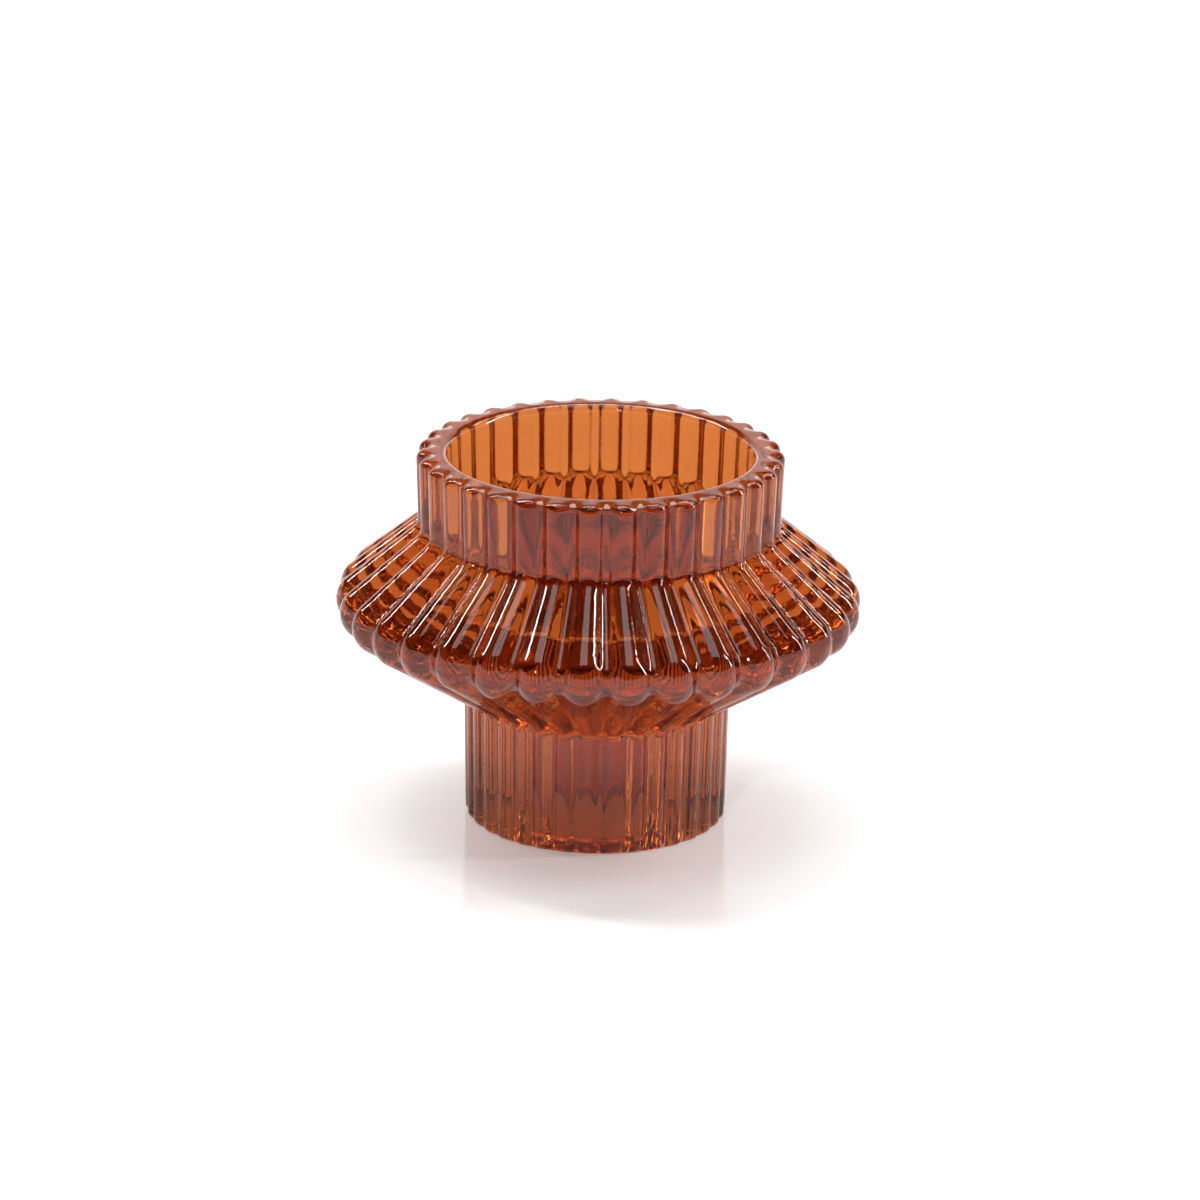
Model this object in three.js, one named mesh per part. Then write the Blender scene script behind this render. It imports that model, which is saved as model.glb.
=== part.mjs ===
// Pressed-glass candlestick: one ribbed glass body with a tealight cup on top and a taper socket in its foot.
// Millimetres, +Z up. The foot rests on z = 0, and Z is the axis that the ribs are spaced around.

import * as THREE from 'three';

// Driving dimensions
const ribCount = 34;
const height = 65.3;

const skirtRadius = 45.1; // rib crests at the widest point
const skirtTipHeight = 38.4;
const skirtTipRound = 5.0;
const skirtGroove = 1.8; // depth of the grooves between the ribs, at the skirt's tip

const collarTopRadius = 31.5; // rib crests just under the rim
const collarRadius = 31.1; // rib crests where the collar meets the skirt
const collarFootHeight = 52.1;
const collarGroove = 1.4;

const stemTopRadius = 22.9; // rib crests where the stem meets the skirt
const stemFootRadius = 22.5;
const stemTopHeight = 21.7;
const stemGroove = 0.8;

const mouthRadius = 26.0;
const cupFloorRadius = 25.2;
const cupFloorHeight = 34.5;
const cupFillet = 2.5;

const socketMouthRadius = 11.4;
const socketRadius = 11.0;
const socketDepth = 19.0;
const socketFillet = 1.0;
const socketChamfer = 0.8;

const lipRound = 1.4; // inner edge of the rim
const rimRound = 1.6; // outer edge of the rim
const rimFlat = 1.5; // width of the rim's level top, inside the ends of the grooves
const footRound = 0.9;

// How a groove's bottom moves at the three places where the outline turns, as a share of its depth
const stemCornerRise = 0.55;
const collarCornerDrop = 0.48;
const rimGrooveDrop = 0.5;

const ribRoundness = 0.6; // 0 is a shallow arc across the rib, and 1 a full half circle
const grooveFillet = 0.3; // share of half a rib over which its groove is rounded out

// Mesh fineness
const columnsPerRib = 4;
const filletSteps = 3;
const tipSteps = 7;

const glassColour = 0x9a4f22;

const point = (radius, z) => new THREE.Vector2(radius, z);

// Points of an elliptical quarter or part turn, from one angle to another in degrees.
function arc(centre, radiusAcross, radiusUp, fromDegrees, toDegrees, steps) {
  const points = [];
  for (let i = 0; i <= steps; i++) {
    const angle = THREE.MathUtils.degToRad(THREE.MathUtils.lerp(fromDegrees, toDegrees, i / steps));
    points.push(point(centre.x + radiusAcross * Math.cos(angle), centre.y + radiusUp * Math.sin(angle)));
  }
  return points;
}

// Angle, in degrees, of the point where a straight line from start touches the circle; side is +1 or -1.
function touchAngle(start, centre, radius, side) {
  const toCentre = centre.clone().sub(start);
  const line = Math.atan2(toCentre.y, toCentre.x) + side * Math.asin(radius / toCentre.length());
  return THREE.MathUtils.radToDeg(line) + side * 90;
}

// Underside: taper socket from its blind end to its mouth, then the flat ring that the foot stands on.
function socketOutline() {
  const filletCentre = point(socketRadius - socketFillet, socketDepth - socketFillet);
  return [
    point(0, socketDepth),
    ...arc(filletCentre, socketFillet, socketFillet, 90, 0, filletSteps),
    point(socketMouthRadius, socketChamfer),
    point(socketMouthRadius + socketChamfer, 0),
  ];
}

// Ribbed outside, from the foot up to the rim. cut is 0 along the rib crests and 1 along the groove bottoms.
function ribbedOutline(cut) {
  const tipCentre = point(skirtRadius - skirtTipRound, skirtTipHeight);
  const tipRound = skirtTipRound - cut * skirtGroove;
  const stemTop = point(stemTopRadius - cut * stemGroove, stemTopHeight + stemCornerRise * cut * stemGroove);
  const collarFoot = point(
    collarRadius - cut * collarGroove,
    collarFootHeight - collarCornerDrop * cut * collarGroove,
  );
  const footCentre = point(stemFootRadius - footRound, footRound);
  const rimCentre = point(collarTopRadius - rimRound, height - rimRound);
  const rimDrop = rimGrooveDrop * collarGroove;
  const undersideAngle = touchAngle(stemTop, tipCentre, tipRound, -1);
  const topsideAngle = touchAngle(collarFoot, tipCentre, tipRound, 1);
  return [
    ...arc(footCentre, footRound - cut * stemGroove, footRound, -90, 0, filletSteps),
    stemTop,
    ...arc(tipCentre, tipRound, tipRound, undersideAngle, topsideAngle, tipSteps),
    collarFoot,
    ...arc(rimCentre, rimRound - cut * collarGroove, rimRound - cut * rimDrop, 0, 90, filletSteps),
  ];
}

// Smooth inside of the tealight cup, from the rim's inner edge down to the middle of the floor.
function cupOutline() {
  const lipCentre = point(mouthRadius + lipRound, height - lipRound);
  const filletCentre = point(cupFloorRadius - cupFillet, cupFloorHeight + cupFillet);
  return [
    point(lipCentre.x + rimFlat, height),
    ...arc(lipCentre, lipRound, lipRound, 90, 180, filletSteps),
    ...arc(filletCentre, cupFillet, cupFillet, 0, -90, filletSteps),
    point(0, cupFloorHeight),
  ];
}

const bodyOutline = (cut) => [...socketOutline(), ...ribbedOutline(cut), ...cupOutline()];

// 0 on the crest of a rib and 1 in its groove: a round arc, then a groove with a rounded bottom.
function grooveShare(column) {
  const acrossRib = Math.abs(2 * ((column / columnsPerRib) % 1) - 1);
  const drop = (x) => 1 - Math.sqrt(1 - (ribRoundness * x) ** 2);
  const edge = 1 - grooveFillet;
  const slope = (ribRoundness ** 2 * edge) / Math.sqrt(1 - (ribRoundness * edge) ** 2);
  const past = Math.max(acrossRib - edge, 0);
  const depth = drop(Math.min(acrossRib, edge)) + slope * (past - past ** 2 / (2 * grooveFillet));
  return depth / (drop(edge) + (slope * grooveFillet) / 2);
}

// A lathe-turned crest outline, drawn in towards a groove outline between the ribs.
function ribbedGeometry() {
  const columns = ribCount * columnsPerRib;
  const crestPoints = bodyOutline(0);
  const geometry = new THREE.LatheGeometry(crestPoints, columns);
  const grooves = new THREE.LatheGeometry(bodyOutline(1), columns).attributes.position;
  const crests = geometry.attributes.position;
  const crest = new THREE.Vector3();
  const groove = new THREE.Vector3();
  for (let i = 0; i < crests.count; i++) {
    const column = Math.floor(i / crestPoints.length);
    crest.fromBufferAttribute(crests, i);
    groove.fromBufferAttribute(grooves, i);
    crest.lerp(groove, grooveShare(column));
    crests.setXYZ(i, crest.x, crest.y, crest.z);
  }
  geometry.rotateX(Math.PI / 2);
  geometry.computeVertexNormals();
  return geometry;
}

function glassBody() {
  const glass = new THREE.MeshStandardMaterial({ color: glassColour, roughness: 0.05, metalness: 0 });
  const mesh = new THREE.Mesh(ribbedGeometry(), glass);
  mesh.name = 'glass_body';
  return mesh;
}

const candlestick = new THREE.Group();
candlestick.add(glassBody());

export default candlestick;
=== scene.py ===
"""A ribbed amber pressed-glass candlestick, standing on a pale glossy table top.

The glass is one body: a tealight cup inside a ribbed collar, a wide flared skirt, and a straight stem
with a taper socket under its foot. Everything is in metres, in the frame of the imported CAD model.
"""

import math

import bpy
import numpy as np
from mathutils import Matrix, Vector


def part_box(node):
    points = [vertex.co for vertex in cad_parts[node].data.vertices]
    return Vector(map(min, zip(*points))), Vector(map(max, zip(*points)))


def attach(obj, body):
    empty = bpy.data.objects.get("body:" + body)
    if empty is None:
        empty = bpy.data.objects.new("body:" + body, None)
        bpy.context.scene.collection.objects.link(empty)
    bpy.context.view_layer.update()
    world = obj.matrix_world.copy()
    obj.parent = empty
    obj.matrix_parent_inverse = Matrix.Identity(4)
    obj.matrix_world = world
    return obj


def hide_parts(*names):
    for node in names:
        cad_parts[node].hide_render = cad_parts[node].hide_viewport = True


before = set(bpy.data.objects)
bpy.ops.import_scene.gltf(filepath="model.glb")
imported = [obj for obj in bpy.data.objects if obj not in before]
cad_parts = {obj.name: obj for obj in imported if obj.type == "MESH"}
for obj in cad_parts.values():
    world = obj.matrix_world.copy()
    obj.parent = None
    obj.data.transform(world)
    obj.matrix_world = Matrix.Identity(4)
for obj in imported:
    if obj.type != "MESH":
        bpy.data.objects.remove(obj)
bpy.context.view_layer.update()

MM = 0.001
_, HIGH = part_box("glass_body")

# The glass body's outline, as in the CAD model
RIBS = 34
HEIGHT = HIGH[2]
SKIRT_RADIUS = HIGH[0]
SKIRT_TIP_HEIGHT = 38.4 * MM
SKIRT_TIP_ROUND = 5.0 * MM
SKIRT_GROOVE = 1.8 * MM
COLLAR_TOP_RADIUS = 31.5 * MM
COLLAR_RADIUS = 31.1 * MM
COLLAR_FOOT_HEIGHT = 52.1 * MM
COLLAR_GROOVE = 1.4 * MM
STEM_TOP_RADIUS = 22.9 * MM
STEM_FOOT_RADIUS = 22.5 * MM
STEM_TOP_HEIGHT = 21.7 * MM
STEM_GROOVE = 0.8 * MM
MOUTH_RADIUS = 26.0 * MM
CUP_FLOOR_RADIUS = 25.2 * MM
CUP_FLOOR_HEIGHT = 34.5 * MM
CUP_FILLET = 2.5 * MM
SOCKET_MOUTH_RADIUS = 11.4 * MM
SOCKET_RADIUS = 11.0 * MM
SOCKET_DEPTH = 19.0 * MM
SOCKET_FILLET = 1.0 * MM
SOCKET_CHAMFER = 0.8 * MM
LIP_ROUND = 1.4 * MM
RIM_ROUND = 1.6 * MM
RIM_FLAT = 1.5 * MM
FOOT_ROUND = 0.9 * MM

# How a groove's bottom moves where the outline turns, as a share of its depth
STEM_CORNER_RISE = 0.55
COLLAR_CORNER_DROP = 0.48
RIM_GROOVE_DROP = 0.5

RIB_ROUNDNESS = 0.6
GROOVE_FILLET = 0.3  # share of half a rib over which its groove is rounded out
CORNER_REACH = 1.2 * MM  # length of the bend where the outline turns inwards
NO_RADIUS = 1e-9


def arc(centre, across, up, start, end, steps):
    """Points of an elliptical part turn, from one angle to another in degrees."""
    angles = np.radians(np.linspace(start, end, steps + 1))
    return [(centre[0] + across * math.cos(a), centre[1] + up * math.sin(a)) for a in angles]


def line(start, end, steps):
    """Points after start along a straight stretch, its end included."""
    shares = np.linspace(0, 1, steps + 1)[1:]
    return [(start[0] + (end[0] - start[0]) * t, start[1] + (end[1] - start[1]) * t) for t in shares]


def towards(start, end, length):
    """The point that lies a length from start on the way to end."""
    share = length / math.dist(start, end)
    return (start[0] + (end[0] - start[0]) * share, start[1] + (end[1] - start[1]) * share)


def bend(before, corner, after, reach, steps):
    """A corner softened into a curve that begins and ends a reach away from it."""
    start, end = towards(corner, before, reach), towards(corner, after, reach)
    points = []
    for t in np.linspace(0, 1, steps + 1):
        weights = ((1 - t) ** 2, 2 * t * (1 - t), t**2)
        points.append(tuple(sum(w * p[k] for w, p in zip(weights, (start, corner, end))) for k in (0, 1)))
    return points


def touch_angle(start, centre, radius, side):
    """Angle, in degrees, of the point where a straight line from start touches the circle."""
    across, up = centre[0] - start[0], centre[1] - start[1]
    heading = math.atan2(up, across) + side * math.asin(radius / math.hypot(across, up))
    return math.degrees(heading) + side * 90


def socket_outline():
    """Underside, from the socket's blind end to the flat ring that the foot stands on."""
    fillet_centre = (SOCKET_RADIUS - SOCKET_FILLET, SOCKET_DEPTH - SOCKET_FILLET)
    fillet = arc(fillet_centre, SOCKET_FILLET, SOCKET_FILLET, 90, 0, 6)
    mouth = (SOCKET_MOUTH_RADIUS, SOCKET_CHAMFER)
    chamfer_centre = (SOCKET_MOUTH_RADIUS + SOCKET_CHAMFER, SOCKET_CHAMFER)
    chamfer = arc(chamfer_centre, SOCKET_CHAMFER, SOCKET_CHAMFER, 180, 270, 5)
    end_face = [(0, SOCKET_DEPTH)] + line((0, SOCKET_DEPTH), fillet[0], 4)[:-1]
    return end_face + fillet + line(fillet[-1], mouth, 8)[:-1] + chamfer


def ribbed_outline(cut):
    """Ribbed outside, from the foot up to the rim: cut is 0 on the rib crests and 1 along the grooves."""
    tip_centre = (SKIRT_RADIUS - SKIRT_TIP_ROUND, SKIRT_TIP_HEIGHT)
    tip_round = SKIRT_TIP_ROUND - cut * SKIRT_GROOVE
    stem_top = (STEM_TOP_RADIUS - cut * STEM_GROOVE, STEM_TOP_HEIGHT + STEM_CORNER_RISE * cut * STEM_GROOVE)
    collar_foot = (
        COLLAR_RADIUS - cut * COLLAR_GROOVE,
        COLLAR_FOOT_HEIGHT - COLLAR_CORNER_DROP * cut * COLLAR_GROOVE,
    )
    foot_centre = (STEM_FOOT_RADIUS - FOOT_ROUND, FOOT_ROUND)
    rim_centre = (COLLAR_TOP_RADIUS - RIM_ROUND, HEIGHT - RIM_ROUND)
    rim_drop = RIM_GROOVE_DROP * COLLAR_GROOVE
    foot = arc(foot_centre, FOOT_ROUND - cut * STEM_GROOVE, FOOT_ROUND, -90, 0, 6)
    underside = touch_angle(stem_top, tip_centre, tip_round, -1)
    topside = touch_angle(collar_foot, tip_centre, tip_round, 1)
    tip = arc(tip_centre, tip_round, tip_round, underside, topside, 18)
    rim = arc(rim_centre, RIM_ROUND - cut * COLLAR_GROOVE, RIM_ROUND - cut * rim_drop, 0, 90, 8)
    stem_bend = bend(foot[-1], stem_top, tip[0], CORNER_REACH, 5)
    collar_bend = bend(tip[-1], collar_foot, rim[0], CORNER_REACH, 5)
    outline = foot + line(foot[-1], stem_bend[0], 10)[:-1] + stem_bend
    outline += line(stem_bend[-1], tip[0], 12)[:-1] + tip
    outline += line(tip[-1], collar_bend[0], 12)[:-1] + collar_bend
    return outline + line(collar_bend[-1], rim[0], 6)[:-1] + rim


def cup_outline():
    """Smooth inside of the tealight cup, from the rim's flat top to the middle of the floor."""
    lip_centre = (MOUTH_RADIUS + LIP_ROUND, HEIGHT - LIP_ROUND)
    lip = arc(lip_centre, LIP_ROUND, LIP_ROUND, 90, 180, 7)
    fillet_centre = (CUP_FLOOR_RADIUS - CUP_FILLET, CUP_FLOOR_HEIGHT + CUP_FILLET)
    fillet = arc(fillet_centre, CUP_FILLET, CUP_FILLET, 0, -90, 7)
    wall = line(lip[-1], fillet[0], 10)[:-1]
    floor = line(fillet[-1], (0, CUP_FLOOR_HEIGHT), 5)
    return [(lip_centre[0] + RIM_FLAT, HEIGHT)] + lip + wall + fillet + floor


def body_outline(cut):
    return np.array(socket_outline() + ribbed_outline(cut) + cup_outline())


def columns_across_rib():
    """Places across one rib, from its left groove at -1 to just short of its right groove at +1."""
    half = np.array([0.0, 0.2, 0.4, 0.58, 0.7, 0.8, 0.9])
    return np.concatenate([[-1.0], -half[:0:-1], half])


def groove_share(across):
    """0 on the crest of a rib and 1 in its groove: a round arc, then a groove with a rounded bottom."""

    def drop(x):
        return 1 - np.sqrt(1 - (RIB_ROUNDNESS * x) ** 2)

    edge = 1 - GROOVE_FILLET
    slope = RIB_ROUNDNESS**2 * edge / math.sqrt(1 - (RIB_ROUNDNESS * edge) ** 2)
    away = np.abs(across)
    past = np.clip(away - edge, 0, None)
    depth = drop(np.minimum(away, edge)) + slope * (past - past**2 / (2 * GROOVE_FILLET))
    return depth / (drop(edge) + slope * GROOVE_FILLET / 2)


def glass_mesh():
    """The body's closed surface: the outline's rings, each one drawn in between the ribs."""
    crests, grooves = body_outline(0), body_outline(1)
    across = np.tile(columns_across_rib(), RIBS)
    rib_of_column = np.repeat(np.arange(RIBS), len(columns_across_rib()))
    # A groove faces -Y and a crest faces +X, as in the CAD model
    turn = -math.pi / 2 + (rib_of_column + (across + 1) / 2) * math.tau / RIBS
    share = groove_share(across)
    columns = len(turn)
    vertices, rings = [], []
    for crest, groove in zip(crests, grooves):
        first = len(vertices)
        if crest[0] < NO_RADIUS:  # on the axis the whole ring is one point
            vertices.append((0, 0, crest[1]))
            rings.append(np.full(columns, first))
            continue
        radius = crest[0] + (groove[0] - crest[0]) * share
        height = crest[1] + (groove[1] - crest[1]) * share
        vertices += zip(radius * np.cos(turn), radius * np.sin(turn), height)
        rings.append(np.arange(first, first + columns))
    faces = []
    for lower, upper in zip(rings[:-1], rings[1:]):
        for j in range(columns):
            k = (j + 1) % columns
            corners = (lower[j], lower[k], upper[k], upper[j])
            faces.append([int(c) for c in dict.fromkeys(corners)])
    mesh = bpy.data.meshes.new("fluted_glass_body")
    mesh.from_pydata(vertices, [], faces)
    mesh.shade_smooth()
    return mesh


def set_inputs(shader_node, **values):
    """Sets a node's inputs by name; underscores stand for spaces."""
    for name, value in values.items():
        shader_node.inputs[name.replace("_", " ")].default_value = value


def node(tree, kind, **values):
    """A new shader node with its inputs set by name."""
    made = tree.nodes.new(kind)
    set_inputs(made, **values)
    return made


def principled(name):
    material = bpy.data.materials.new(name)
    material.use_nodes = True
    tree = material.node_tree
    tree.nodes.clear()
    shader = tree.nodes.new("ShaderNodeBsdfPrincipled")
    output = tree.nodes.new("ShaderNodeOutputMaterial")
    tree.links.new(shader.outputs["BSDF"], output.inputs["Surface"])
    return material, tree, shader, output


def amber_glass():
    """Brown-amber pressed glass: a coloured skin over a coloured body, fire-polished but not flat."""
    material, tree, shader, output = principled("amber_pressed_glass")
    set_inputs(shader, Base_Color=(0.54, 0.168, 0.042, 1), Transmission_Weight=1, IOR=1.52, Roughness=0.0)
    absorption = node(tree, "ShaderNodeVolumeAbsorption", Color=(0.75, 0.47, 0.25, 1), Density=50.0)
    tree.links.new(absorption.outputs["Volume"], output.inputs["Volume"])
    place = tree.nodes.new("ShaderNodeTexCoord")
    ripple = node(tree, "ShaderNodeTexNoise", Scale=260.0, Detail=3.0, Roughness=0.55)
    ripple_bump = node(tree, "ShaderNodeBump", Strength=0.12, Distance=0.0004)
    grain = node(tree, "ShaderNodeTexNoise", Scale=1500.0, Detail=2.0, Roughness=0.5)
    grain_bump = node(tree, "ShaderNodeBump", Strength=0.12, Distance=0.0001)
    tree.links.new(place.outputs["Object"], ripple.inputs["Vector"])
    tree.links.new(place.outputs["Object"], grain.inputs["Vector"])
    tree.links.new(ripple.outputs["Fac"], ripple_bump.inputs["Height"])
    tree.links.new(grain.outputs["Fac"], grain_bump.inputs["Height"])
    tree.links.new(ripple_bump.outputs["Normal"], grain_bump.inputs["Normal"])
    tree.links.new(grain_bump.outputs["Normal"], shader.inputs["Normal"])
    return material


def pale_surface(name, **values):
    """A plain pale surface that glows a little by itself, with its other inputs set by name."""
    material, _, shader, _ = principled(name)
    set_inputs(shader, Base_Color=(0.9, 0.9, 0.9, 1), Emission_Color=(1, 1, 1, 1), **values)
    return material


def backdrop_mesh(radius, height, sides):
    """An upright round wall, standing on the table top around the object."""
    turns = [math.tau * k / sides for k in range(sides)]
    corners = [(radius * math.cos(t), radius * math.sin(t), z) for z in (0, height) for t in turns]
    after = [(k + 1) % sides for k in range(sides)]
    mesh = bpy.data.meshes.new("backdrop")
    mesh.from_pydata(corners, [], [(k, j, sides + j, sides + k) for k, j in enumerate(after)])
    mesh.shade_smooth()
    return mesh


def add(name, mesh):
    piece = bpy.data.objects.new(name, mesh)
    bpy.context.scene.collection.objects.link(piece)
    return piece


def aim(thing, target):
    """Turns a light or the camera, which look along their own -Z, to face the target."""
    thing.rotation_euler = (thing.location - Vector(target)).to_track_quat("Z", "Y").to_euler()


def area_light(name, place, target, width, height, power):
    light = bpy.data.lights.new(name, "AREA")
    light.shape = "RECTANGLE"
    light.size, light.size_y, light.energy = width, height, power
    lamp = add(name, light)
    lamp.location = place
    aim(lamp, target)


# The glass body
body = add("candlestick_glass", glass_mesh())
body.data.materials.append(amber_glass())
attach(body, "root")
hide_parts("glass_body")

# The table top, pale and polished
TABLE_REACH = 3.0  # from its middle to each of its sides
TABLE_GAP = 0.05 * MM  # the foot's glass rests on a few high points, with air between
table_mesh = bpy.data.meshes.new("table_top")
ends = (-TABLE_REACH, TABLE_REACH)
table_corners = [(x, y, -TABLE_GAP) for y, row in zip(ends, (ends, ends[::-1])) for x in row]
table_mesh.from_pydata(table_corners, [], [(0, 1, 2, 3)])
table = add("table_top", table_mesh)
table.data.materials.append(
    pale_surface("pale_table_top", Roughness=0.12, IOR=1.6, Emission_Strength=0.18)
)

# A low wall around the table top, pale like it
BACKDROP_RADIUS = 2.9
BACKDROP_HEIGHT = 0.6
BACKDROP_SIDES = 96
backdrop = add("backdrop", backdrop_mesh(BACKDROP_RADIUS, BACKDROP_HEIGHT, BACKDROP_SIDES))
backdrop.data.materials.append(pale_surface("pale_backdrop", Roughness=0.9, Emission_Strength=0.55))

# Light
world = bpy.data.worlds.new("studio")
world.use_nodes = True
set_inputs(world.node_tree.nodes["Background"], Color=(1, 1, 1, 1), Strength=0.02)
bpy.context.scene.world = world
middle = (0, 0, HEIGHT / 2)
area_light("back_panel", (0, 2.2, 0.8), (0, 0, 0.8), 3.0, 1.2, 9)
area_light("top_softbox", (0, 0.5, 1.5), middle, 1.0, 0.6, 11)
area_light("front_softbox", (0, -0.35, 1.5), middle, 1.0, 0.5, 4)
area_light("right_strip", (0.85, 0.05, 0.55), middle, 0.04, 0.8, 5)
area_light("upper_right_strip", (0.6, 0.33, 0.87), middle, 0.05, 0.9, 2.2)
area_light("upper_left_strip", (-0.6, 0.33, 0.87), middle, 0.05, 0.9, 7)
area_light("spot_light", (-0.25, -0.9, 0.55), middle, 0.035, 0.035, 2)

# The camera
SENSOR_WIDTH = 36
DISTANCE = 1.1
ELEVATION = math.radians(19.3)
AROUND = math.radians(-92.1)
LEAN = math.radians(0.95)
PICTURE_WIDTH = 0.2065  # metres across the whole picture, at the object
away = Vector((
    math.cos(AROUND) * math.cos(ELEVATION),
    math.sin(AROUND) * math.cos(ELEVATION),
    math.sin(ELEVATION),
))
camera = add("camera", bpy.data.cameras.new("camera"))
camera.location = Vector(middle) + away * DISTANCE
facing = away.to_track_quat("Z", "Y").to_matrix().to_4x4()
camera.rotation_euler = (facing @ Matrix.Rotation(LEAN, 4, "Z")).to_euler()
camera.data.sensor_width = SENSOR_WIDTH
camera.data.lens = SENSOR_WIDTH * DISTANCE / PICTURE_WIDTH
camera.data.shift_x = 0.0017
camera.data.shift_y = 0.0258
bpy.context.scene.camera = camera

bpy.context.scene.view_settings.view_transform = "Standard"
bpy.context.scene.cycles.max_bounces = 24
bpy.context.scene.cycles.transmission_bounces = 24
bpy.context.scene.cycles.glossy_bounces = 12
